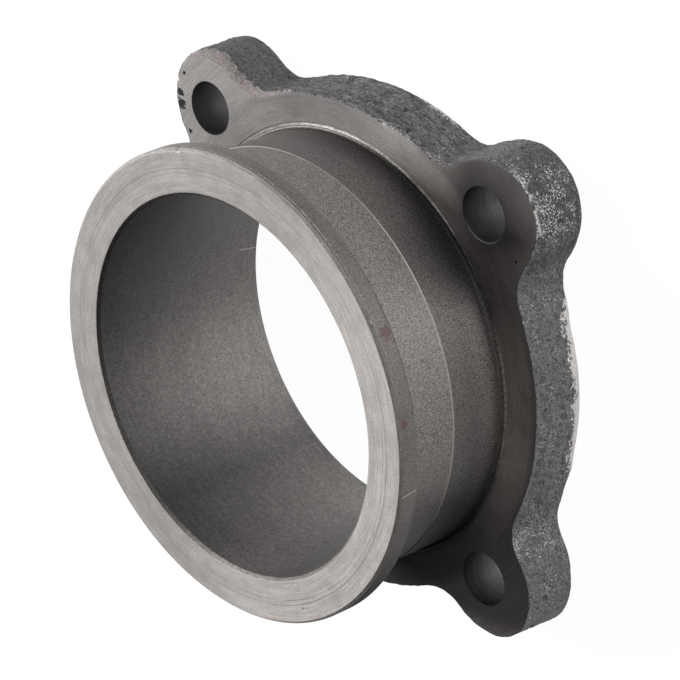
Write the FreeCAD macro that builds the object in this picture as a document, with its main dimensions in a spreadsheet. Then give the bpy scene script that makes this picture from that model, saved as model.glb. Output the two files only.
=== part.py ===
"""Exhaust flange adapter: a four-bolt cast-iron flange that ends in a V-band rim.

One casting, machined where it mates. The bore axis is +Z. The bolted flange's
mating face lies in Z = 0, and the V-band face is on top. Millimetres, degrees.
"""
import FreeCAD, Part
import math
import os
import Sketcher

SIZES = [
    # alias, value, what it is
    ("overall_height", 39.5, "flange's back face to V-band face"),
    ("bore_dia", 72.4, "gas bore"),
    ("bore_chamfer", 0.6, "bore's edge at the V-band face"),
    ("rim_dia", 90.0, "outside of the V-band rim"),
    ("rim_land", 4.2, "length of the rim's outer cylinder, with its edges"),
    ("rim_chamfer", 0.5, "front edge of the land"),
    ("rim_back_angle", 20.0, "slope of the rim's clamping face, from square"),
    ("rim_back_round", 0.8, "round between the land and the clamping face"),
    ("groove_round", 1.0, "root of the clamping groove"),
    ("neck_dia", 81.3, "neck beside the flange"),
    ("neck_length", 12.0, "flange face to the step in the neck"),
    ("neck_step", 0.15, "drop in radius at that step"),
    ("foot_round", 0.75, "round between neck and flange face"),
    ("flange_thick", 10.4, "back face to turned face"),
    ("plate_dia", 97.8, "cast plate between the ears, at its back"),
    ("ear_radius", 11.7, "cast ear, at its back"),
    ("ear_blend", 7.6, "hollow round between ear and plate"),
    ("draft_angle", 4.0, "casting draft of the plate and ears"),
    ("bolt_circle_dia", 102.0, "bolt circle"),
    ("bolt_hole_dia", 10.3, "clearance hole for the stud"),
    ("bolt_count", 4, "ears and holes"),
]


def make_sheet(doc):
    """The driving dimensions: one row each, with its alias."""
    sheet = doc.addObject("Spreadsheet::Sheet", "Sizes")
    for row, (alias, value, note) in enumerate(SIZES, start=1):
        sheet.set("A%d" % row, alias)
        sheet.set("B%d" % row, str(value))
        sheet.set("C%d" % row, note)
        sheet.setAlias("B%d" % row, alias)
    doc.recompute()
    return sheet


def origin_feature(body, role):
    """The body's own plane or axis, such as XY_Plane or Z_Axis."""
    return next(f for f in body.Origin.OriginFeatures if f.Role == role)


def add_sketch(body, name, plane, height=None):
    """An empty sketch on an origin plane, lifted by an expression if given."""
    sketch = body.newObject("Sketcher::SketchObject", name)
    sketch.AttachmentSupport = [(origin_feature(body, plane), "")]
    sketch.MapMode = "FlatFace"
    if height:
        sketch.setExpression("AttachmentOffset.Base.z", height)
    return sketch


def bind(sketch, constraint, name, expression):
    """Add a constraint under a name and drive it from the sheet."""
    index = sketch.addConstraint(constraint)
    sketch.renameConstraint(index, name)
    sketch.setExpression("Constraints." + name, expression)


# ---------------------------------------------------------------- turned form

def turned_profile(body, size):
    """Half section of all that is round, on the XZ plane (X is the radius).

    Each corner is (radius, height) in the sheet's sizes. The lines between
    corners are square, drafted or sloped as the corners say, and the rounds
    and chamfers are drawn in as sides of the outline.
    """
    sketch = add_sketch(body, "turned_profile", "XZ_Plane")
    face = "Sizes.flange_thick"
    neck = "Sizes.neck_dia / 2"
    upper = "(Sizes.neck_dia / 2 - Sizes.neck_step)"
    land_back = "(Sizes.overall_height - Sizes.rim_land)"
    slope = "tan(Sizes.rim_back_angle)"
    # the clamping face runs back and in from the rim to the upper neck
    groove = "(%s - (Sizes.rim_dia / 2 - %s) * %s)" % (land_back, upper, slope)
    # where a round starts, measured from its corner along each side
    rim_back_run = ("Sizes.rim_back_round * tan((90 - Sizes.rim_back_angle) / 2)")
    groove_run = ("Sizes.groove_round * tan((90 - Sizes.rim_back_angle) / 2)")
    sine, cosine = "sin(Sizes.rim_back_angle)", "cos(Sizes.rim_back_angle)"

    corners = [
        # name, radius, height, round that ends here (None for a straight side)
        ("bore_back", "Sizes.bore_dia / 2", "0", None),
        ("plate_back", "Sizes.plate_dia / 2", "0", None),
        ("plate_front", "Sizes.plate_dia / 2 - Sizes.flange_thick * tan(Sizes.draft_angle)",
         face, None),
        ("foot_out", neck + " + Sizes.foot_round", face, None),
        ("foot_in", neck, face + " + Sizes.foot_round", "Sizes.foot_round"),
        ("step_low", neck, face + " + Sizes.neck_length", None),
        ("step_high", upper, face + " + Sizes.neck_length + Sizes.neck_step", None),
        ("groove_low", upper, "%s - %s" % (groove, groove_run), None),
        ("groove_high", "%s + %s * %s" % (upper, groove_run, cosine),
         "%s + %s * %s" % (groove, groove_run, sine), "Sizes.groove_round"),
        ("rim_under", "Sizes.rim_dia / 2 - %s * %s" % (rim_back_run, cosine),
         "%s - %s * %s" % (land_back, rim_back_run, sine), None),
        ("rim_land", "Sizes.rim_dia / 2", "%s + %s" % (land_back, rim_back_run),
         "Sizes.rim_back_round"),
        ("rim_front", "Sizes.rim_dia / 2",
         "Sizes.overall_height - Sizes.rim_chamfer", None),
        ("face_out", "Sizes.rim_dia / 2 - Sizes.rim_chamfer", "Sizes.overall_height", None),
        ("face_in", "Sizes.bore_dia / 2 + Sizes.bore_chamfer", "Sizes.overall_height", None),
        ("bore_front", "Sizes.bore_dia / 2",
         "Sizes.overall_height - Sizes.bore_chamfer", None),
    ]
    # first drawn at the true sizes, so that the solver only has to confirm them
    at = [(size(radius), size(height)) for _, radius, height, _ in corners]
    hollow = {"foot_in", "groove_high"}          # rounds that curve into the metal
    for i, (name, _, _, round_size) in enumerate(corners):
        start, end = at[i - 1], at[i]
        a, b = FreeCAD.Vector(*start, 0), FreeCAD.Vector(*end, 0)
        if round_size is None:
            sketch.addGeometry(Part.LineSegment(a, b))
        else:
            chord = b - a
            radius = size(round_size)
            left = FreeCAD.Vector(-chord.y, chord.x, 0).normalize()
            sag = radius - math.sqrt(radius ** 2 - chord.Length ** 2 / 4)
            side = 1 if name in hollow else -1
            middle = (a + b) * 0.5 + left * (side * sag)
            sketch.addGeometry(Part.Arc(a, middle, b))
    # geometry i is the side that ends at corner i
    end_of = lambda i: (i, 2) if corners[i][3] is None else arc_end(sketch, i, at[i])
    start_of = lambda i: (i, 1) if corners[i][3] is None else arc_end(sketch, i, at[i - 1])
    count = len(corners)
    for i in range(count):
        sketch.addConstraint(Sketcher.Constraint(
            "Coincident", *end_of(i), *start_of((i + 1) % count)))
    for i, (name, radius, height, round_size) in enumerate(corners):
        point = end_of(i)
        bind(sketch, Sketcher.Constraint("DistanceX", -1, 1, *point, at[i][0]),
             name + "_r", radius)
        if height == "0":
            sketch.addConstraint(Sketcher.Constraint("PointOnObject", *point, -1))
        else:
            bind(sketch, Sketcher.Constraint("DistanceY", -1, 1, *point, at[i][1]),
                 name + "_z", height)
        if round_size is not None:
            bind(sketch, Sketcher.Constraint("Radius", i, size(round_size)),
                 name + "_round", round_size)
    return sketch


def arc_end(sketch, index, point):
    """Which end of an arc lies at a point: Sketcher stores arcs anticlockwise."""
    target = FreeCAD.Vector(*point, 0)
    near = min((1, 2), key=lambda end: sketch.getPoint(index, end).distanceToPoint(target))
    return index, near


def revolve(body, profile):
    turned = body.newObject("PartDesign::Revolution", "turned_form")
    turned.Profile = profile
    turned.ReferenceAxis = (profile, ["V_Axis"])
    turned.Angle = 360
    return turned


# ----------------------------------------------------------------------- ears

def circle_on_bolt_circle(body, name, height, dia_expression, size):
    """A sketch with one circle on the bolt circle, in the first quadrant."""
    sketch = add_sketch(body, name, "XY_Plane", height)
    along = "Sizes.bolt_circle_dia / 2 * cos(180 / Sizes.bolt_count)"
    across = "Sizes.bolt_circle_dia / 2 * sin(180 / Sizes.bolt_count)"
    centre = FreeCAD.Vector(size(along), size(across), 0)
    sketch.addGeometry(Part.Circle(centre, FreeCAD.Vector(0, 0, 1), size(dia_expression) / 2))
    bind(sketch, Sketcher.Constraint("DistanceX", -1, 1, 0, 3, centre.x), "along", along)
    bind(sketch, Sketcher.Constraint("DistanceY", -1, 1, 0, 3, centre.y), "across", across)
    bind(sketch, Sketcher.Constraint("Diameter", 0, size(dia_expression)), "dia",
         dia_expression)
    return sketch


def pattern_round_bore(body, name, feature):
    """Copies of a feature about the bore axis, one for each bolt."""
    pattern = body.newObject("PartDesign::PolarPattern", name)
    pattern.Originals = [feature]
    pattern.Axis = (origin_feature(body, "Z_Axis"), [""])
    pattern.Angle = 360
    pattern.setExpression("Occurrences", "Sizes.bolt_count")
    body.Tip = pattern
    return pattern


def add_ears(doc, body, size):
    """Four drafted ears, blended into the plate."""
    sketch = circle_on_bolt_circle(body, "ear_outline", None, "Sizes.ear_radius * 2",
                                   size)
    ear = body.newObject("PartDesign::Pad", "ear")
    ear.Profile = sketch
    ear.setExpression("Length", "Sizes.flange_thick")
    ear.setExpression("TaperAngle", "-Sizes.draft_angle")
    doc.recompute()
    ears = pattern_round_bore(body, "ears", ear)
    doc.recompute()
    blends = body.newObject("PartDesign::Fillet", "ear_blends")
    blends.Base = (ears, corner_edges(ears.Shape, size))
    blends.setExpression("Radius", "Sizes.ear_blend")
    body.Tip = blends
    doc.recompute()
    return blends


def corner_edges(shape, size):
    """The upright edges where an ear's side meets the plate's side."""
    thick = size("Sizes.flange_thick")
    found = []
    for number, edge in enumerate(shape.Edges, start=1):
        heights = sorted(v.Z for v in edge.Vertexes)
        if len(heights) != 2 or abs(heights[0]) > 0.01 or abs(heights[1] - thick) > 0.01:
            continue
        faces = shape.ancestorsOfType(edge, Part.Face)
        # a cone's own seam has one face, so it is passed over
        if len(faces) == 2 and not faces[0].isSame(faces[1]):
            found.append("Edge%d" % number)
    return found


def drill_holes(doc, body, size):
    """Clearance holes right through the ears, drilled from the turned face."""
    sketch = circle_on_bolt_circle(body, "hole_outline", "Sizes.flange_thick",
                                   "Sizes.bolt_hole_dia", size)
    hole = body.newObject("PartDesign::Pocket", "bolt_hole")
    hole.Profile = sketch
    hole.Type = "ThroughAll"
    doc.recompute()
    return pattern_round_bore(body, "bolt_holes", hole)


# ----------------------------------------------------------------------- part

def build():
    doc = FreeCAD.newDocument("exhaust_flange_adapter")
    make_sheet(doc)
    body = doc.addObject("PartDesign::Body", "flange_adapter")
    body.Label = "flange_adapter"
    doc.recompute()

    def size(expression):
        """The present value of an expression over the sheet, in mm."""
        value = body.evalExpression(expression)
        return float(getattr(value, "Value", value))

    profile = turned_profile(body, size)
    revolve(body, profile)
    doc.recompute()
    solid_before = body.Shape.Volume
    add_ears(doc, body, size)
    solid_with_ears = body.Shape.Volume
    drill_holes(doc, body, size)
    doc.recompute()
    assert solid_with_ears > solid_before, "the ears added nothing"
    assert body.Shape.Volume < solid_with_ears, "the holes cut nothing"
    return doc, [body]


def check(doc, parts):
    """Stop on any feature that failed and any shape that isn't one good solid."""
    for item in doc.Objects:
        if {"Invalid", "Error"} & set(item.State):
            raise RuntimeError("%s failed: %s" % (item.Name, item.State))
    for part in parts:
        shape = part.Shape
        if shape.isNull() or not shape.isValid() or len(shape.Solids) != 1:
            raise RuntimeError("%s is not one valid solid" % part.Label)
        box = shape.BoundBox
        print("%s: volume %.1f mm3, box %.2f x %.2f x %.2f mm" % (
            part.Label, shape.Volume, box.XLength, box.YLength, box.ZLength))


def main():
    doc, parts = build()
    check(doc, parts)
    os.makedirs("parts", exist_ok=True)
    for part in parts:
        part.Shape.exportStep("parts/%s.step" % part.Label)


main()
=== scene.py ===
import math

import bmesh
import bpy
import numpy as np
from mathutils import Matrix, Vector, noise


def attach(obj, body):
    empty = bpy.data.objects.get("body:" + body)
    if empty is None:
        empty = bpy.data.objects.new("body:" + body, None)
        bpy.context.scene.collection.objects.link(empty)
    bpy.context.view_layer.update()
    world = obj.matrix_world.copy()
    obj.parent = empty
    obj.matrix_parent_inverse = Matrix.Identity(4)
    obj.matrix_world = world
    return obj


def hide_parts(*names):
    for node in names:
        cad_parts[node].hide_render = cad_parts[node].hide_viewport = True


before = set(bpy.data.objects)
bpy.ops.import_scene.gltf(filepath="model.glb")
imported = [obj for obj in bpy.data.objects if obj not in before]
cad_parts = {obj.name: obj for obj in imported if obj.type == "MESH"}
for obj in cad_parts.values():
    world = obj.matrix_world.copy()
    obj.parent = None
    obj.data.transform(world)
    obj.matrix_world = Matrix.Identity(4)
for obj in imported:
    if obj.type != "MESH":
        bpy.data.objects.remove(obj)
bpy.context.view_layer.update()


# ---------------------------------------------------------------------------
# The camera stands a little above and to the right, with a long lens, and is
# turned so that the adapter stands on two of its ears as it does on a bench.
ahead = Vector((-0.66576, -0.42122, -0.61591)).normalized()
upward = Vector((-0.29723, 0.90682, -0.29888)).normalized()
across = ahead.cross(upward)
camera_data = bpy.data.cameras.new("camera")
camera_data.lens = 206.32
camera_data.sensor_width = 36
camera_data.clip_start, camera_data.clip_end = 0.05, 20
camera = bpy.data.objects.new("camera", camera_data)
camera.matrix_world = (Matrix.Translation((0.4785, 0.30332, 0.45442))
                       @ Matrix((across, upward, -ahead)).transposed().to_4x4())
bpy.context.scene.collection.objects.link(camera)
bpy.context.scene.camera = camera


# ---------------------------------------------------------------------------
# The cast edge of the flange. Grey iron from a sand mould, the one surface
# that is left as cast: grained, wavy and pitted, drawn 4 degrees, and a little
# out of true with the bore that was machined into it afterwards.
FLANGE = 10.4           # thickness, and everything here is in millimetres
PLATE_R, EAR_R, HOLLOW_R = 48.9, 11.7, 7.6      # at the back, where the draft starts
DRAFT = math.tan(math.radians(4))
BOLT_CIRCLE_R = 51.0
COLUMN = 0.31           # spacing of the mesh round the edge
SAND = Vector((3.1, 7.7, 1.3))                  # where in the noise the skin is taken

mm = bmesh.new()        # the whole casting is one mesh, in millimetres until it is done
bare_and_glint_layer = mm.verts.layers.float.new("bare")      # 1 where the skin is ground or worn away, and where a highlight is painted along one lobe
rolled_layer = mm.verts.layers.float.new("rolled")  # 1 where the edge of the turned face rolls over
relief_layer = mm.verts.layers.float.new("relief")  # how far the skin stands proud, 0.5 is level


def edge_loop(height):
    """The plate and its ears as (x, y, outward x, outward y), evenly spaced."""
    drawn = height * DRAFT
    plate, ear, hollow = PLATE_R - drawn, EAR_R - drawn, HOLLOW_R + drawn
    reach = plate + hollow
    turn = math.acos((reach ** 2 + BOLT_CIRCLE_R ** 2 - (ear + hollow) ** 2)
                     / (2 * reach * BOLT_CIRCLE_R))
    hollow_x, hollow_y = reach * math.cos(turn), reach * math.sin(turn)
    lean = math.atan2(hollow_y, hollow_x - BOLT_CIRCLE_R)
    # each arc's own turn in radians, at the back, sets how many columns it has
    ear_steps, hollow_steps, plate_steps = (
        round(radius * arc / COLUMN) for radius, arc in ((EAR_R, 1.45), (HOLLOW_R, 1.1), (PLATE_R, 0.88)))
    half = []           # from the ear's axis to where the plate starts
    for i in range(ear_steps):
        a = lean * i / ear_steps
        half.append((BOLT_CIRCLE_R + ear * math.cos(a), ear * math.sin(a),
                     math.cos(a), math.sin(a)))
    for i in range(hollow_steps):
        a = lean + math.pi + (turn - lean) * i / hollow_steps
        half.append((hollow_x + hollow * math.cos(a), hollow_y + hollow * math.sin(a),
                     -math.cos(a), -math.sin(a)))
    quarter = list(half)
    for i in range(plate_steps + 1):
        a = turn + (math.pi / 2 - 2 * turn) * i / plate_steps
        quarter.append((plate * math.cos(a), plate * math.sin(a), math.cos(a), math.sin(a)))
    quarter += [(y, x, v, u) for x, y, u, v in reversed(half[1:])]
    loop = []
    for k in range(4):
        a = math.pi / 4 + k * math.pi / 2
        c, s = math.cos(a), math.sin(a)
        loop += [(x * c - y * s, x * s + y * c, u * c - v * s, u * s + v * c)
                 for x, y, u, v in quarter]
    return np.array(loop)


# how far the casting stands out from its drawing: angle, at the turned face,
# at the back, and how far its front edge is rounded over
UNTRUE = np.array([
    (-180, -0.3, -0.2, 0.5), (-150, 0.2, 0.3, 0.5), (-120, -0.3, -0.1, 0.4), (-90, -0.5, -0.3, 0.4),
    (-78, -0.45, -0.3, 0.3), (-63, -0.2, -0.1, 0.15), (-57, -0.75, -0.5, 0.12), (-53, -0.45, -0.3, 0.12),
    (-49, 0.35, 0.2, 0.1), (-44, 0.8, 0.4, 0.1), (-40, 0.5, 0.35, 0.1), (-36, 0.3, 0.3, 0.1),
    (-32, 0.1, 1.1, 0.1), (-28, 0.4, 1.05, 0.1), (-20, 0.55, 0.5, 0.1), (-12, 0.75, 0.95, 0.1),
    (0, 0.87, 1.3, 0.1), (8, 0.95, 1.4, 0.1), (17, 0.9, 1.2, 0.1), (25, 1.05, 1.5, 0.1),
    (28, 1.3, 1.95, 0.1), (31, 1.45, 1.9, 0.1), (34, 1.2, 1.6, 0.1), (37, 1.8, 1.95, 0.12),
    (40, 1.85, 2.1, 0.12), (43, 1.6, 1.95, 0.12), (46, 1.0, 1.3, 0.15), (49, 0.3, 0.7, 0.2),
    (52, -0.5, -0.3, 0.2), (56, -1.05, -1.2, 0.2), (59, -0.6, -0.4, 0.2), (62, 0.15, 0.45, 0.2),
    (66, 0.2, 0.6, 0.2), (73, -0.4, 0.2, 0.3), (77, -0.95, -0.05, 0.35), (90, -1.1, -0.6, 0.4),
    (97, -1.1, -0.75, 0.4), (104, -0.75, -0.93, 0.5), (112, -0.9, -1.15, 0.8), (117, -0.6, -0.5, 1.0),
    (122, -0.8, 0.6, 2.2), (126, -0.9, 0.1, 2.1), (130, -0.7, -0.6, 1.1), (135, -0.9, -0.6, 0.6),
    (141, -1.5, -0.8, 0.5), (145, -1.9, -1.0, 0.4), (149, -1.4, -0.8, 0.5), (160, -0.6, -0.4, 0.5),
    (180, -0.3, -0.2, 0.5)])

back_loop, front_loop = edge_loop(0), edge_loop(FLANGE)
turns = np.degrees(np.arctan2(back_loop[:, 1], back_loop[:, 0]))
soften = np.hanning(11) / np.hanning(11).sum()
front_off, back_off, roll = (
    np.convolve(np.pad(np.interp(turns, UNTRUE[:, 0], UNTRUE[:, k]), 5, "wrap"), soften, "valid")
    for k in (1, 2, 3))

# pits in the skin: angle, height, radius, depth
PITS = [(77.4, 4.6, 0.75, 0.55), (71.5, 8.6, 0.6, 0.5), (67.8, 8.4, 0.5, 0.45), (74.5, 8.9, 0.4, 0.35),
        (62.4, 3.5, 1.2, 0.25), (97, 2.2, 0.8, 0.35), (104, 7.8, 0.6, 0.4), (89, 9.3, 0.5, 0.4),
        (69, 9.6, 0.5, 0.5), (66, 9.8, 0.4, 0.45), (73, 9.7, 0.35, 0.4),
        (128, 8.6, 0.4, 0.35), (131, 8.8, 0.35, 0.3), (20, 3.2, 0.5, 0.3), (6.3, 7.3, 0.45, 0.3),
        (13, 5.5, 0.35, 0.3), (-4, 4.4, 0.4, 0.3), (-12, 6.6, 0.35, 0.25), (-26, 5.0, 0.5, 0.3),
        (-38, 6.5, 0.6, 0.4), (-44, 7.5, 0.5, 0.3), (-52, 3.0, 0.5, 0.3), (38, 5.0, 0.6, 0.35),
        (42, 8.2, 0.5, 0.3), (33, 8.0, 0.5, 0.4), (51, 3.3, 0.5, 0.3), (139.5, 9.8, 0.8, 0.7),
        (141.5, 9.6, 0.7, 0.7), (146, 8.8, 0.9, 0.6), (-150, 6, 0.8, 0.5), (-118, 4, 0.7, 0.4),
        (-97, 7, 0.6, 0.4), (-80, 3, 0.6, 0.4), (170, 5, 0.7, 0.5), (-170, 8, 0.5, 0.4)]
pit_spots = []
for angle, height, radius, depth in PITS:
    i = int(np.argmin(np.abs((turns - angle + 180) % 360 - 180)))
    share = height / FLANGE
    where = Vector((*(back_loop[i, :2] * (1 - share) + front_loop[i, :2] * share), height))
    pit_spots.append((where, radius, depth))


def pit_depth(spot):
    """How deep the pits reach at a place in the skin."""
    deepest = 0.0
    for where, radius, depth in pit_spots:
        near = (spot - where).length / radius
        if near < 1.4:
            deepest = max(deepest, depth * max(0.0, 1 - near ** 2 * 0.55) ** 2)
    return deepest


# rings up the edge, closer where it meets the flats
heights = [0.0, 0.12, 0.35] + [0.65 + 0.33 * i for i in range(27)]
heights += [9.5, 9.75, 9.95, 10.1, 10.22, 10.31, 10.37, FLANGE]
edge_rings = []
for height in heights:
    share = height / FLANGE
    ring = []
    for i in range(len(back_loop)):
        out = Vector((*(back_loop[i, 2:] * (1 - share) + front_loop[i, 2:] * share), 0))
        x, y = back_loop[i, :2] * (1 - share) + front_loop[i, :2] * share
        spot = Vector((x, y, height))
        # sand: broad waves, lumps and grains; the ears came out finer than the lobes
        coarse = 1.0 - 0.45 * math.exp(-((abs(turns[i]) % 90 - 45) / 22) ** 2)
        waves = noise.noise(spot / 5.5 + SAND)
        lumps = noise.noise(spot / 1.9 - SAND)
        grains = noise.noise(spot / 0.85 + 2 * SAND)
        skin = 0.16 * waves + coarse * (0.24 * lumps + 0.27 * grains)
        pit = pit_depth(spot)
        off = back_off[i] * (1 - share) + (front_off[i] + roll[i] * 0.85) * share
        # the front edge is rounded over where the mould was soft
        rise = max(0.0, (height - (FLANGE - roll[i])) / roll[i])
        off -= roll[i] * (1 - math.sqrt(max(0.0, 1 - rise ** 2)))
        # the grain fades toward both flats
        fade = min(1.0, 0.45 + (FLANGE - height) / 1.5) * min(1.0, 0.4 + height / 0.8)
        bare = rolled = 0.0
        # flash along the back of one lobe was ground off
        if -24 < turns[i] < 30:
            ends = min(1.0, (turns[i] + 16) / 5, (23 - turns[i]) / 5)
            ground = -0.50 + 0.38 * max(0.0, height - 0.1) + 0.6 * (1 - ends)
            gap = ground - skin * fade + 0.3 * noise.noise(spot / 1.3 + SAND)
            bare = 0.6 * max(0.0, min(1.0, 1 - gap / 0.45))
            if gap < 0:
                skin, bare = ground / fade, 1.0
        elif 64 < turns[i] < 78:        # along the back of the top one a highlight is painted, as bare metal
            bare = max(0.0, 1 - height / 0.8) * min(1.0, (turns[i] - 64) / 4, (78 - turns[i]) / 4)
        # where the front edge is round, the facing tool and the wheel brightened it
        if roll[i] > 0.6:
            ragged = 0.55 * noise.noise(spot / 1.1 - 2 * SAND) + 0.35 * noise.noise(spot / 0.6)
            rolled = min(1.0, max(0.0, (height - (FLANGE - roll[i] * 0.7) + ragged) / 0.4))
        off += skin * fade - pit
        v = mm.verts.new((x + out.x * off, y + out.y * off, height))
        v[bare_and_glint_layer] = bare
        v[rolled_layer] = rolled
        v[relief_layer] = 0.5 + 0.9 * skin - 1.2 * pit
        ring.append(v)
    edge_rings.append(ring)


def strip(lower, upper, finish):
    """Quads between two closed rings of the same count."""
    for i in range(len(lower)):
        j = (i + 1) % len(lower)
        face = mm.faces.new((lower[i], lower[j], upper[j], upper[i]))
        face.material_index = finish
        face.smooth = True


SKIN, TURNED, NECK, RIM, VEE_FACE, BORE, DRILLED, BACK, FOOT = range(9)
for lower, upper in zip(edge_rings, edge_rings[1:]):
    strip(lower, upper, SKIN)


def ring_inside(ring, inset, height):
    """A ring that much inside the cast edge, so that the flat beside it stays flat."""
    inner = []
    for i, v in enumerate(ring):
        out = front_loop[i, 2:] if height else back_loop[i, 2:]
        inner.append(mm.verts.new((v.co.x - out[0] * inset, v.co.y - out[1] * inset, height)))
    return inner


front_inset = ring_inside(edge_rings[-1], 0.4, FLANGE)
strip(edge_rings[-1], front_inset, TURNED)
back_inset = ring_inside(edge_rings[0], 0.4, 0)
strip(back_inset, edge_rings[0], BACK)


# ---------------------------------------------------------------------------
# The turned form: neck, V-band rim and bore. Turned on a lathe out of the same
# casting, in the order foot, neck with its tool step, clamping groove, rim,
# sealing face and bore; only the edges are broken.
ROUND = 720             # facets
NECK_R, RIM_R, BORE_R, TOP = 40.65, 45.0, 36.2, 39.5
PROFILE = [             # radius, height, round at the corner, and the finish that follows it
    (42.0, FLANGE, 0, TURNED), (41.75, 10.3, 0, FOOT), (41.55, 10.5, 0.04, FOOT), (41.3, 10.5, 0, NECK),
    (NECK_R, 10.5, 0.6, NECK), (NECK_R, 22.38, 0.04, NECK), (40.5, 22.53, 0.04, NECK),
    (40.5, 33.66, 1.0, NECK), (RIM_R, 35.3, 0.8, RIM), (RIM_R, 39.0, 0.10, VEE_FACE),
    (44.5, TOP, 0.08, VEE_FACE), (36.8, TOP, 0.08, BORE), (BORE_R, 38.9, 0.10, BORE),
    (BORE_R, 0.0, 0.0, BACK), (36.75, 0.0, 0, BACK)]
stations = []
for i, (radius, height, corner, finish) in enumerate(PROFILE):
    here = Vector((radius, height))
    if not corner:
        stations.append((here, finish))
        continue
    before = (Vector(PROFILE[i - 1][:2]) - here).normalized()
    after = (Vector(PROFILE[i + 1][:2]) - here).normalized()
    run = corner / math.tan(before.angle(after) / 2)
    steps = 7 if corner > 0.3 else 3
    for k in range(steps + 1):
        t = k / steps
        spot = here + before * run * (1 - t) ** 2 + after * run * t ** 2
        stations.append((spot, PROFILE[i - 1][3] if k < steps / 2 else finish))
    if (radius, height) == (44.5, TOP):         # flats beside the edges, and the nicks' own rows
        stations += [(Vector((r, TOP)), finish) for r in (44.2, 43.9, 43.6, 43.2, 37.2)]
    if (radius, height) == (RIM_R, 35.3):
        stations += [(Vector((RIM_R, z)), finish) for z in (37.0, 38.2, 38.6)]


def at(turn, radius, height):
    """A place on the lathe, in millimetres."""
    return radius * math.cos(math.radians(turn)), radius * math.sin(math.radians(turn)), height


# nicks in the rim's front edge: angle, radius, height, size and depth
NICKS = [(105.2, 44.75, 39.3, 0.75, 0.45), (33.5, 44.85, 39.1, 0.35, 0.12), (27, 44.9, 39.0, 0.3, 0.10),
         (12, 44.9, 39.1, 0.3, 0.10), (150, 44.8, 39.3, 0.4, 0.15), (-72, 44.8, 39.3, 0.4, 0.15),
         (-130, 44.8, 39.2, 0.5, 0.2), (-20, 44.85, 39.2, 0.35, 0.12)]
nick_spots = [(Vector(at(*place)), size, depth) for *place, size, depth in NICKS]
turned_rings = []
for spot, finish in stations:
    ring = []
    for k in range(ROUND):
        a = 2 * math.pi * k / ROUND
        place = Vector((spot.x * math.cos(a), spot.x * math.sin(a), spot.y))
        if spot.x > 43.5 and spot.y > 38:
            for where, size, depth in nick_spots:
                near = (place - where).length / size
                if near < 1:
                    place += Vector((-math.cos(a), -math.sin(a), -1)) * (depth * 0.6 * (1 - near) ** 1.2)
                elif near < 1.5:        # the metal is raised beside it
                    place += Vector((math.cos(a), math.sin(a), 0)) * (depth * 0.25 * (1.5 - near))
        ring.append(mm.verts.new(place))
    turned_rings.append(ring)
for (spot, finish), lower, upper in zip(stations, turned_rings, turned_rings[1:]):
    strip(lower, upper, finish)


# ---------------------------------------------------------------------------
# The four bolt holes, drilled through the ears on the bolt circle for M10
# studs, each with its edges just broken.
HOLE_R = 5.15
HOLE_FACETS = 80
HOLE_PROFILE = (        # radius, height
    (5.27, FLANGE), (5.19, FLANGE - 0.05), (HOLE_R, FLANGE - 0.14), (HOLE_R, 7.0), (HOLE_R, 3.5),
    (HOLE_R, 0.2), (5.35, 0.0))
hole_fronts, hole_backs = [], []
for k in range(4):
    centre = Vector(at(45 + 90 * k, BOLT_CIRCLE_R, 0))
    rings = [[mm.verts.new(centre + Vector((radius * math.cos(t), radius * math.sin(t), height)))
              for t in (2 * math.pi * s / HOLE_FACETS for s in range(HOLE_FACETS))]
             for radius, height in HOLE_PROFILE]
    for upper, lower in zip(rings, rings[1:]):
        strip(upper, lower, DRILLED)
    hole_fronts.append(rings[0])
    hole_backs.append(rings[-1])


# ---------------------------------------------------------------------------
# The two flats of the flange. The front is faced round the neck, and the back
# is faced all over, because it is the one that seals on the turbine housing.
def flat(rings, facing, finish):
    """Fills the flat between an outer ring, an inner one and the holes."""
    edges = []
    for ring in rings:
        for i in range(len(ring)):
            ends = (ring[i - 1], ring[i])
            edges.append(mm.edges.get(ends) or mm.edges.new(ends))
    filled = bmesh.ops.triangle_fill(mm, edges=edges, use_beauty=True, normal=(0, 0, facing))
    for face in filled["geom"]:
        if isinstance(face, bmesh.types.BMFace):
            face.material_index = finish
            face.smooth = True
            face.normal_update()
            if face.normal.z * facing < 0:
                face.normal_flip()


flat([front_inset, turned_rings[0]] + hole_fronts, 1, TURNED)
flat([back_inset, turned_rings[-1]] + hole_backs, -1, BACK)
bmesh.ops.recalc_face_normals(mm, faces=mm.faces)
mm.normal_update()
CREASE = math.radians(18)
for edge in mm.edges:       # sharp where it is machined, and all smooth over the cast skin
    kinds = {face.material_index for face in edge.link_faces}
    crease = kinds != {SKIN} and edge.calc_face_angle(0) > CREASE
    edge.smooth = not (crease or DRILLED in kinds and len(kinds) == 2)
mm.transform(Matrix.Scale(0.001, 4))
casting_mesh = bpy.data.meshes.new("adapter_casting")
mm.to_mesh(casting_mesh)
mm.free()
casting = bpy.data.objects.new("adapter_casting", casting_mesh)
bpy.context.scene.collection.objects.link(casting)


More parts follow.
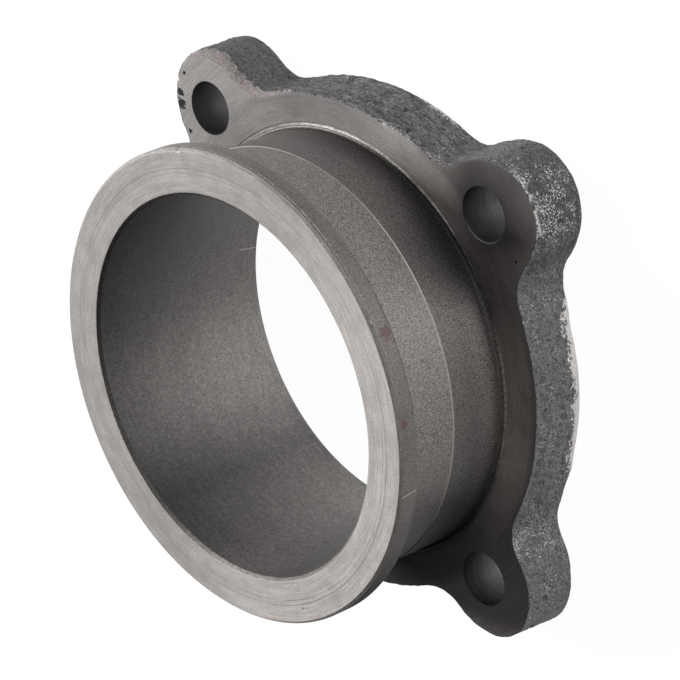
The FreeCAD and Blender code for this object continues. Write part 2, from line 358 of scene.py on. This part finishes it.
# ---------------------------------------------------------------------------
# The casting skin's finish: dark grey iron oxide with the grain of the sand,
# darker in the hollows, bright where it is flaked, chipped or ground.
class Value:
    """A socket that leaves a node. Sums and products of it add Math nodes."""

    def __init__(self, finish, socket):
        self.finish, self.socket = finish, socket

    def other(self, name):
        """Another output of the same node."""
        return Value(self.finish, self.socket.node.outputs[name])

    def math(self, operation, *terms):
        return self.finish.node("ShaderNodeMath", {"operation": operation}, dict(enumerate(terms)))

    def __add__(self, other): return self.math("ADD", self, other)
    def __radd__(self, other): return self.math("ADD", other, self)
    def __sub__(self, other): return self.math("SUBTRACT", self, other)
    def __rsub__(self, other): return self.math("SUBTRACT", other, self)
    def __mul__(self, other): return self.math("MULTIPLY", self, other)
    def __rmul__(self, other): return self.math("MULTIPLY", other, self)
    def __truediv__(self, other): return self.math("DIVIDE", self, other)
    def __rtruediv__(self, other): return self.math("DIVIDE", other, self)
    def __pow__(self, other): return self.math("POWER", self, other)


class Finish:
    """One material, or the world, under way. node() adds any node to it."""

    def __init__(self, name, owner=None):
        self.material = owner or bpy.data.materials.new(name)
        self.material.use_nodes = True
        self.tree = self.material.node_tree
        self.tree.nodes.clear()
        self.place = self.node("ShaderNodeTexCoord", out="Object")

    def node(self, kind, settings=None, values=None, out=0):
        """Adds a node. out is the output to go on with, None where there is none."""
        made = self.tree.nodes.new(kind)
        for name, setting in (settings or {}).items():
            if name == "stops":         # of a colour ramp: place and grey level
                for place, level in setting[2:]:
                    made.color_ramp.elements.new(place)
                for stop, (place, level) in zip(made.color_ramp.elements, setting):
                    stop.position, stop.color = place, (level, level, level, 1)
            else:
                setattr(made, name, setting)
        for name, value in (values or {}).items():
            if isinstance(value, Value):
                self.tree.links.new(value.socket, made.inputs[name])
            else:
                made.inputs[name].default_value = value
        return None if out is None else Value(self, made.outputs[out])

    def vector(self, operation, first, second=None, out=0, **more):
        """Vector maths on one vector, or on two."""
        values = {0: first, **more} if second is None else {0: first, 1: second, **more}
        return self.node("ShaderNodeVectorMath", {"operation": operation}, values, out)

    def coordinates(self, vector):
        """The three parts of a vector."""
        x = self.node("ShaderNodeSeparateXYZ", {}, {0: vector})
        return x, x.other("Y"), x.other("Z")

    def noise(self, size, detail=2.0, rough=0.5, place=None):
        """Noise of that size in millimetres, 0 to 1."""
        return self.node("ShaderNodeTexNoise", {}, {
            "Vector": place or self.place, "Scale": 1000.0 / size, "Detail": detail, "Roughness": rough})

    def step(self, value, low, high, start=0.0, end=1.0):
        """start below low, end above high, and smooth in between."""
        return self.node("ShaderNodeMapRange", {"interpolation_type": "SMOOTHSTEP"}, {
            "Value": value, "From Min": low, "From Max": high, "To Min": start, "To Max": end})

    def line(self, value, centre, core, edge, strength=1.0):
        """strength within core of that value, none beyond edge, all in metres."""
        off = value - centre
        return self.step(off.math("ABSOLUTE", off), core, edge, strength, 0.0)

    def mix(self, share, first, second):
        return self.node("ShaderNodeMix", {"data_type": "RGBA"}, {0: share, 6: first, 7: second}, out=2)

    def tint(self, colour, amount):
        """The colour times a number."""
        return self.vector("SCALE", colour if isinstance(colour, Value) else colour[:3], Scale=amount)

    def away(self, place):
        """Distance in millimetres from a place in millimetres."""
        return 1000.0 * self.vector("DISTANCE", self.place, Vector(place) / 1000, "Value")

    def near(self, place, low, high, inside=1.0, outside=0.0):
        """inside up to low millimetres from a place, outside beyond high."""
        return self.step(self.away(place), low, high, inside, outside)

    def spots(self, *places, ragged=0.6):
        """1 on small ragged spots, each given as x, y, z and radius in millimetres."""
        wobble = (self.noise(0.7, 2.0, 0.6) - 0.5) * (2 * ragged)
        total = 0.0
        for x, y, z, size in places:
            total = self.step(self.away((x, y, z)) / size + wobble, 0.75, 1.05, 1.0, 0.0) + total
        return total

    def scratch(self, start, end, width):
        """1 along a broken scratch between two places, all in millimetres."""
        start, end = Vector(start) / 1000, Vector(end) / 1000
        run = end - start
        offset = self.vector("SUBTRACT", self.place, start)
        share = self.vector("DOT_PRODUCT", offset, run / run.length_squared, "Value")
        along = self.vector("SCALE", run, Scale=self.node("ShaderNodeClamp", {}, {0: share}))
        off = self.vector("DISTANCE", offset, along, "Value")
        return (self.step(off, width * 0.0003, width * 0.0006, 1.0, 0.0)
                * self.step(self.noise(1.2), 0.3, 0.5, 0.4, 1.0))

    def close(self, colour, roughness, metallic, bump, depth, specular=0.5):
        """The shader itself. depth is the bump's height in millimetres."""
        normal = self.node("ShaderNodeBump", {}, {
            "Strength": 1.0, "Distance": depth / 1000, "Height": bump})
        shader = self.node("ShaderNodeBsdfPrincipled", {}, {
            "Base Color": colour, "Roughness": roughness, "Metallic": metallic,
            "Specular IOR Level": specular, "Normal": normal})
        self.node("ShaderNodeOutputMaterial", {}, {"Surface": shader}, out=None)


def grey(level, red=1.0, green=1.0, blue=1.0):
    """A grey of that level, leaned a little to a colour."""
    return (level * red, level * green, level * blue, 1.0)


skin = Finish("cast_skin")
relief, bare, rolled = (skin.node("ShaderNodeAttribute", {"attribute_name": name}, out="Fac")
                        for name in ("relief", "bare", "rolled"))
x, y, z = skin.coordinates(skin.place)
mottle = skin.noise(6.0, 3.0, 0.6)
grain = skin.noise(0.45, 3.0, 0.7)
fine = skin.noise(0.25, 2.0, 0.7)
pitting = skin.step(skin.noise(0.62, 2.0, 0.6), 0.33, 0.38, 0.25, 1.0)
# over the top the sand was drawn along the edge in wrinkles
wrinkles = skin.noise(1.1, 3.0, 0.7, skin.vector("MULTIPLY", skin.place, (0.35, 0.6, 1.5)))
wrinkled = (skin.step(y, 0.030, 0.045) * skin.step(x, -0.027, -0.017)
            * skin.step(x, 0.020, 0.034, 1.0, 0.2))
level = (skin.step(mottle, 0.3, 0.7, 0.9, 1.0)
         * skin.step(relief, 0.15, 0.5, 0.7, 1.04) * skin.step(relief, -0.15, 0.08, 0.25, 1.0)
         * skin.step(grain, 0.36, 0.64, 0.68, 1.30) * skin.step(fine, 0.36, 0.64, 0.72, 1.28) * pitting
         # painted shade: the wall beside the top-right ear and the wall left of the top lobe are painted
         # darker
         * skin.near((50, 40, 5), 7.0, 18.0, 0.56, 1.0) * skin.near((-26, 50, 5), 9.0, 22.0, 0.76, 1.0)
         # painted relief shading: along the wrinkles the colour is painted lighter and darker with their
         # relief, on top of their bump
         * (1 + wrinkled * skin.step(wrinkles, 0.36, 0.64, -0.38, 0.36)))
CHIPS = ((-44.4, 37.1, 10.3, 0.9), (-44.3, 34.8, 10.3, 1.25), (-43.2, 41.3, 10.3, 0.4),
         (-41.9, 29.9, 10.3, 0.6))
chips = skin.spots(*CHIPS, ragged=1.0)
dark_skin = skin.tint(grey(0.170, 1.01, 0.98, 1.01), level * (1 - 0.95 * chips))
# bright specks where the oxide has come off, thickest on one ear
speck = (skin.step(skin.noise(0.42, 2.0, 0.7), 0.62, 0.65)
         * skin.step(skin.noise(5.0, 2.0), 0.4, 0.6, 0.3, 1.5)
         * skin.near((-30, 48, 5), 8.0, 20.0, 0.35, 1.0))
flaking = (skin.near((47, 40, 7), 3.5, 12.0) * skin.step(skin.noise(2.6, 2.0, 0.6), 0.38, 0.52)
           + 0.68 * skin.near((45.5, -26.5, 5.5), 2.0, 9.0)
           * skin.step(skin.noise(2.2, 2.0, 0.6), 0.45, 0.55))
flakes = skin.step(skin.noise(0.34, 3.0, 0.7), 0.54, 0.58) * flaking
front_flakes = (skin.step(skin.noise(0.6, 3.0, 0.75), 0.47, 0.53) * flaking * skin.step(z, 0.0088, 0.0101)
                + 0.8 * skin.step(skin.noise(0.42, 3.0, 0.75), 0.53, 0.58) * skin.step(z, 0.0093, 0.0102)
                * skin.near((18, 45, 10), 7.0, 13.0))
# larger ones beside the ground band and the rounded edge
torn = skin.noise(0.7, 3.0, 0.7)
ground_flakes = skin.step(torn, 0.50, 0.55) * skin.step(bare, 0.02, 0.2)
rolled_flakes = (skin.step(torn, 0.50, 0.58) * skin.step(rolled, 0.0, 0.3)
                 * skin.step(rolled, 0.4, 0.8, 1.0, 0.0))
worn = skin.step(speck * 0.45 + flakes + front_flakes + rolled_flakes + ground_flakes, 0.0, 1.0)
bright_iron = skin.tint(grey(0.66, 1.02, 1.0, 0.97), skin.step(fine, 0.3, 0.7, 0.7, 1.3))
colour = skin.mix(worn, dark_skin, bright_iron)
# ground metal, and the painted highlight along the back of the top lobe, take the ground iron's colour
ground = skin.step(bare + (grain - 0.5) * 1.6, 0.50, 0.62)
ground_iron_and_glint = skin.tint(grey(0.50, 1.04, 0.99, 0.96),
                        skin.step(skin.noise(0.8, 2.0, 0.6), 0.25, 0.75, 0.85, 1.12))
colour = skin.mix(ground, colour, ground_iron_and_glint)
rolled_iron = skin.tint(grey(0.30, 1.08, 0.97, 0.94), skin.step(grain, 0.35, 0.65, 0.74, 1.26))
colour = skin.mix(skin.step(rolled + (grain - 0.5) * 1.4, 0.45, 0.6), colour, rolled_iron)
skin.close(colour,
           roughness=skin.step(worn + ground, 0.2, 0.9, 0.66, 0.45),
           metallic=skin.step(worn + ground, 0.2, 0.9, 0.35, 0.7) * (1 - chips),
           bump=(grain * 0.7 + fine * 0.3 + wrinkles * wrinkled * 1.2) * (1 - ground * 0.8), depth=0.5)


# ---------------------------------------------------------------------------
# The turned finishes. Bare grey iron off the tool: fine rings round the bore
# axis, broader bands where the feed changed, and the open grain of the metal.
def lathe_marks(finish, feed, reach, along, rough=0.72):
    """Rings that last for part of a turn. along is the height or the radius."""
    around = finish.node("ShaderNodeCombineXYZ", {}, {
        0: finish.x / finish.radius * reach, 1: finish.y / finish.radius * reach,
        2: along * (1000.0 / feed)})
    return finish.node("ShaderNodeTexNoise", {}, {
        "Vector": around, "Scale": 1.0, "Detail": 3.0, "Roughness": rough})


def by_turn(finish, most, *stops):
    """A level that changes round the axis, as angles from 0 to 360 and levels up to most."""
    facing = -1 * finish.y
    turn = facing.math("ARCTAN2", facing, -1 * finish.x)
    ramp = [(angle / 360, level / most) for angle, level in stops]
    return most * finish.node("ShaderNodeValToRGB", {"stops": ramp}, {0: turn / (2 * math.pi) + 0.5})


def turned(name, colour, feed, marks, grains, roughness, metallic, along="radius", bump=0.03):
    """The finish and its colour, before anything special to one face. feed is in millimetres."""
    made = Finish(name)
    made.x, made.y, made.z = made.coordinates(made.place)
    made.radius = (made.x * made.x + made.y * made.y) ** 0.5
    run = made.radius if along == "radius" else made.z
    rings = lathe_marks(made, feed, 7.0, run)
    bands = lathe_marks(made, feed * 12, 2.0, run, 0.5)
    open_grain = made.noise(0.28, 2.0, 0.7)
    level = 1.0
    for pattern, swing in ((rings, marks), (bands, marks * 0.45), (open_grain, grains)):
        level = level * made.step(pattern, 0.25, 0.75, 1 - swing, 1 + swing)
    made.colour = made.tint(colour, level)
    made.height = rings * 0.6 + open_grain * 0.4
    made.rough = made.step(rings, 0.2, 0.8, roughness - 0.06, roughness + 0.06)
    made.metal, made.depth = metallic, bump
    return made


def complete(made, colour, rough=None, metal=None, specular=0.5):
    """Closes a turned finish, with its own roughness and metal if no others are given."""
    made.close(colour, rough or made.rough, made.metal if metal is None else metal,
               made.height, made.depth, specular)


faced = turned("turned_flange_face", grey(0.270, 1.07, 0.98, 0.95), 0.22, 0.19, 0.24, 0.50, 0.15)
chipped = faced.spots(*CHIPS, ragged=1.0) + faced.spots(
    (44.0, 29.5, 10.4, 0.3), (22.7, 42.9, 10.4, 0.25), (-45.4, 44.1, 10.4, 0.2))
# painted shade round the top-right ear, below the neck, by the neck at the top left and over the top
# lobe, and painted light on the flank right of that ear
level = 1.0
for spot, low, high, inside in (((41, 42, FLANGE), 8.0, 16.0, 0.34), ((8, -48, FLANGE), 8.0, 18.0, 0.26),
                                ((-27, 28, FLANGE), 3.0, 12.0, 0.72), ((-7, 50, FLANGE), 8.0, 20.0, 0.68),
                                ((50, 36, FLANGE), 4.0, 12.0, 1.9)):
    level = level * faced.near(spot, low, high, inside, 1.0)
# beside the neck it is painted lighter on some sides and darker on others, painted light and shade
painted_light_and_shade_beside_neck = by_turn(faced, 2.7, (0, 1.9), (12, 1.7), (28, 0.75), (40, 0.85), (53, 1.95), (82, 0.95),
               (120, 0.8), (180, 1.0), (300, 0.5), (318, 0.8), (335, 1.8), (346, 2.7), (360, 1.9))
level = level * (1 + (painted_light_and_shade_beside_neck - 1) * faced.step(faced.radius, 0.0468, 0.0495, 1.0, 0.0))
# a coarser facing cut shows there in places
GROOVE = 0.45           # millimetres from one to the next
phase = faced.radius * (2000 * math.pi / GROOVE) + faced.noise(3.0, 3.0) * 9.0
level = level * (1 - 0.36 * faced.step(phase.math("SINE", phase), 0.3, 0.95)
                 * faced.step(faced.noise(3.5, 3.0), 0.42, 0.58)
                 * faced.step(faced.radius, 0.0475, 0.0510, 1.0, 0.0))
complete(faced, faced.tint(faced.colour, level * (1 - 0.95 * chipped)),
         faced.rough + 0.4 * chipped, faced.metal - faced.metal * chipped)

foot = turned("foot_round", grey(0.62, 1.06, 0.99, 0.95), 0.3, 0.15, 0.35, 0.42, 0.4)
# painted highlight: the ring is painted brighter on the sides where it catches the light, and darker
# elsewhere
level = foot.step(foot.noise(0.9, 3.0, 0.65), 0.38, 0.56, 0.6, 1.0) * by_turn(
    foot, 1.6, (0, 1.6), (14, 1.5), (24, 0.28), (44, 0.2), (54, 1.4), (75, 1.35), (98, 0.85), (114, 0.4),
    (180, 0.35), (322, 0.2), (335, 0.6), (350, 1.5), (360, 1.6))
complete(foot, foot.tint(foot.colour, level))

vee_face = turned("turned_vee_face", grey(0.40, 1.065, 0.99, 0.94), 0.18, 0.20, 0.20, 0.50, 0.12)
# painted highlight: the half of the face toward the right is painted up to 1.42 times brighter
level = (vee_face.step(vee_face.x * 0.92 - vee_face.y * 0.35, -0.006, 0.024, 1.0, 1.42)
         * vee_face.step(vee_face.noise(3.0, 3.0, 0.6), 0.3, 0.7, 0.93, 1.07))
# two fine lines ring its middle, and its outer edge is broken
about = vee_face.radius + (vee_face.noise(14.0) - 0.5) * 0.0006
fine_lines = (vee_face.line(about, 0.0413, 0.00004, 0.00012)
              + vee_face.line(about, 0.0404, 0.00004, 0.00010, 0.7))
fine_lines = fine_lines * by_turn(vee_face, 1.0, (0, 0.8), (40, 0.5), (55, 0.35), (85, 0.6), (170, 0.6),
                                  (200, 0.25), (270, 0.4), (295, 0.9), (360, 0.8))
broken = vee_face.step(vee_face.noise(0.4), 0.35, 0.65, 0.85, 1.15) * by_turn(
    vee_face, 1.0, (0, 0.6), (40, 0.65), (70, 1.0), (200, 1.0), (290, 0.7), (360, 0.6))
dots = vee_face.spots((18.9, -37.6, TOP, 0.25), (-5.5, 37.8, TOP, 0.16))
level = (level * (1 - 0.55 * fine_lines) * (1 - 0.7 * dots)
         * vee_face.step(vee_face.radius, 0.0444, 0.0446, 1.0, broken))
complete(vee_face, vee_face.tint(vee_face.colour, level))

neck = turned("turned_neck", grey(0.184, 1.06, 0.99, 0.95), 0.5, 0.05, 0.64, 0.45, 0.4,
              along="height", bump=0.05)
# a highlight is painted along the tool step in near white, fading out round the lower right
painted_glint_on_tool_step = neck.line(neck.z, 0.02245, 0.00004, 0.00012) * by_turn(
    neck, 1.0, (0, 1.0), (30, 1.0), (60, 0.8), (90, 0.5), (110, 0.45), (180, 0.45), (300, 0.0),
    (327, 0.0), (338, 0.5), (350, 0.9), (360, 1.0))
# below the tool step it is darker; by the foot it is painted lighter round the right, to fill in shade,
# and darker at the upper right; and its lower side is painted darker, painted shade, and made rougher
painted_light_and_shade_by_foot = by_turn(neck, 3.2, (0, 3.2), (28, 2.4), (38, 1.1), (46, 0.75), (60, 0.65), (110, 0.9),
                    (300, 1.4), (320, 2.0), (345, 3.0), (360, 3.2))
painted_shade_and_dullness = by_turn(neck, 1.0, (0, 0.97), (10, 1.0), (180, 1.0), (280, 0.2), (300, 0.22), (318, 0.32),
               (330, 0.46), (344, 0.72), (351, 0.85), (360, 0.97))
level = (painted_shade_and_dullness * neck.step(neck.z, 0.0222, 0.0226, 0.62, 1.0)
         * neck.step(neck.z, 0.0106, 0.0175, painted_light_and_shade_by_foot, 1.0))
complete(neck, neck.mix(painted_glint_on_tool_step, neck.tint(neck.colour, level), grey(0.80, 1.04, 1.0, 0.96)),
         rough=neck.step(painted_shade_and_dullness, 0.1, 0.6, 0.95, neck.rough), specular=0.2)

rim = turned("turned_rim", grey(0.115, 1.08, 0.985, 0.93), 0.45, 0.10, 0.50, 0.45, 0.4,
             along="height", bump=0.04)
# a highlight is painted along the edge near the front of the rim, only round the top
painted_glint_on_rim_edge = rim.line(rim.z, 0.0385, 0.00005, 0.00016) * rim.step(rim.noise(0.4), 0.35, 0.65) * by_turn(
    rim, 1.0, (0, 0.0), (40, 0.2), (60, 1.0), (120, 1.0), (150, 0.3), (180, 0.0), (360, 0.0))
rust = rim.spots((*at(30.7, RIM_R, 36.8), 1.4), (*at(9.8, RIM_R, 38.1), 1.0),
                 (*at(12.1, RIM_R, 34.8), 1.2), ragged=1.2)
fleck = (rim.spots((*at(34, RIM_R, 39.0), 0.2))
         + rim.scratch(at(-7.9, RIM_R, 39.4), at(-7.1, RIM_R, 35.2), 0.2))
# painted shade: the lower side is painted darker, and made rougher there
painted_shade_and_dullness = by_turn(rim, 1.0, (0, 1.0), (180, 1.0), (270, 0.4), (300, 0.28), (320, 0.35), (336, 0.60),
               (345, 0.72), (356, 1.0), (360, 1.0))
colour = rim.mix(0.85 * rust, rim.tint(rim.colour, painted_shade_and_dullness), grey(0.062, 1.5, 0.85, 0.8))
colour = rim.mix(0.8 * painted_glint_on_rim_edge + 0.8 * fleck, colour, grey(0.5, 1.04, 1.0, 0.96))
complete(rim, colour, rough=rim.step(painted_shade_and_dullness, 0.3, 0.8, 0.95, rim.rough))

bore = turned("bored_wall", grey(0.145, 1.06, 1.0, 0.96), 0.4, 0.16, 0.45, 0.5, 0.3,
              along="height", bump=0.04)
pores = bore.spots((5.5, -35.8, 21.6, 0.3), (-2.4, -36.1, 33.7, 0.25))
score = bore.scratch(at(171.5, BORE_R, 4.3), at(172.6, BORE_R, 0.4), 0.14)
# it is painted darker in a band along the wall and lighter beside it, painted shade and reflection; it is
# lighter along its front edge and painted lighter toward the lower side
painted_shading_round_bore = by_turn(bore, 1.0, (0, 0.66), (150, 0.64), (180, 0.68), (196, 0.84), (215, 0.66), (236, 0.40),
                (256, 0.82), (268, 0.97), (290, 0.46), (310, 0.62), (360, 0.66))
level = (1.2 * painted_shading_round_bore * bore.step(bore.noise(0.9, 3.0, 0.6), 0.3, 0.7, 0.86, 1.14) * (1 - 0.8 * pores)
         * bore.step(bore.z, 0.0388, 0.0390, 1.0, 1.4) * bore.step(bore.y, -0.034, 0.034, 1.4, 0.78))
complete(bore, bore.mix(0.7 * score, bore.tint(bore.colour, level), grey(0.6, 1.04, 1.0, 0.96)))

drilled = turned("drilled_hole", grey(0.064, 1.02, 1.0, 0.99), 0.5, 0.85, 0.35, 0.5, 0.3,
                 along="height", bump=0.08)
ridged = drilled.step(drilled.x, -0.01, 0.01)       # the left-hand holes came out smoother
arc = (drilled.step(drilled.z, 0.01015, 0.01028) * drilled.step(drilled.y, 0.0310, 0.0350, 1.0, 0.0)
       * drilled.step(drilled.y, 0.020, 0.025))     # a highlight is painted along one edge
colour = drilled.mix(ridged, grey(0.060, 1.02, 1.0, 0.99), drilled.colour)
complete(drilled, drilled.mix(arc * ridged, colour, grey(0.6, 1.03, 1.0, 0.97)))

back_face = turned("faced_back", grey(0.36, 1.07, 0.98, 0.94), 0.5, 0.12, 0.10, 0.55, 0.35)
complete(back_face, back_face.colour)

for finish in (skin, faced, neck, rim, vee_face, bore, drilled, back_face, foot):   # SKIN to FOOT
    casting.data.materials.append(finish.material)
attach(casting, "root")
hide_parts("flange_adapter")


# ---------------------------------------------------------------------------
# The bench and the light: a light table that shows white, with a lamp under it,
# a square lamp to the left of the rim, a weak one in front, and an even room
# that is bright only along its horizon.
FLOOR_HALF = 3.0        # metres
floor_mesh = bpy.data.meshes.new("floor")
floor_mesh.from_pydata([(x * FLOOR_HALF, y * FLOOR_HALF, -0.00005)      # just clear of the back face
                        for x, y in ((-1, -1), (1, -1), (1, 1), (-1, 1))], [], [(0, 1, 2, 3)])
floor = bpy.data.objects.new("floor", floor_mesh)
bpy.context.scene.collection.objects.link(floor)
paper = Finish("white_floor")
rays = paper.node("ShaderNodeLightPath", out="Is Camera Ray")
seen = paper.step(rays + rays.other("Is Glossy Ray") + rays.other("Is Transmission Ray"), 0.0, 1.0)
lit = paper.node("ShaderNodeBsdfDiffuse", {}, {"Color": paper.tint((1, 1, 1), 0.2 + 0.6 * seen)})
white = paper.node("ShaderNodeEmission", {}, {"Color": (1, 1, 1, 1), "Strength": 1.08})
glow = paper.node("ShaderNodeMixShader", {}, {0: 0.25 + 0.65 * seen, 1: lit, 2: white})
paper.node("ShaderNodeOutputMaterial", {}, {"Surface": glow}, out=None)
floor_mesh.materials.append(paper.material)
floor.visible_shadow = False        # the lamp under it shines through

room = Finish("room", bpy.data.worlds.new("room"))
bpy.context.scene.world = room.material
rays = room.node("ShaderNodeLightPath", out="Is Camera Ray")
seen = room.step(rays + rays.other("Is Transmission Ray"), 0.0, 1.0)
heading = room.place.other("Generated")
x, y, z = room.coordinates(heading)
horizon = room.step(z, 0.03, 0.22, 0.5, 0.0) * room.step(y, -0.7, 0.3, 0.2, 1.0)
toward_key = room.vector("DOT_PRODUCT", heading, (-0.77, 0.25, 0.59), "Value")
strength = seen + (1 - seen) * (0.035 + horizon + 0.3 * room.step(toward_key, 0.6, 1.0))
sky = room.node("ShaderNodeBackground", {}, {"Color": (1, 1, 1, 1), "Strength": strength})
room.node("ShaderNodeOutputWorld", {}, {"Surface": sky}, out=None)

for name, direction, distance, size, power in (         # metres and watts
        ("key", (-0.77, 0.098, 0.63), 1.1, 0.36, 13.0),
        ("table", (0.80, 0.50, -0.37), 1.0, 0.5, 6.0),
        ("front", (0.38, 0.70, 0.60), 1.6, 0.6, 1.7)):
    lamp = bpy.data.lights.new(name, "AREA")
    lamp.shape, lamp.size, lamp.size_y, lamp.energy = "RECTANGLE", size, size, power
    stand = bpy.data.objects.new(name, lamp)
    stand.location = Vector(direction).normalized() * distance + Vector((0, 0, 0.02))
    stand.rotation_euler = Vector(direction).to_track_quat("Z", "Y").to_euler()
    bpy.context.scene.collection.objects.link(stand)

bpy.context.scene.view_settings.view_transform = "Standard"
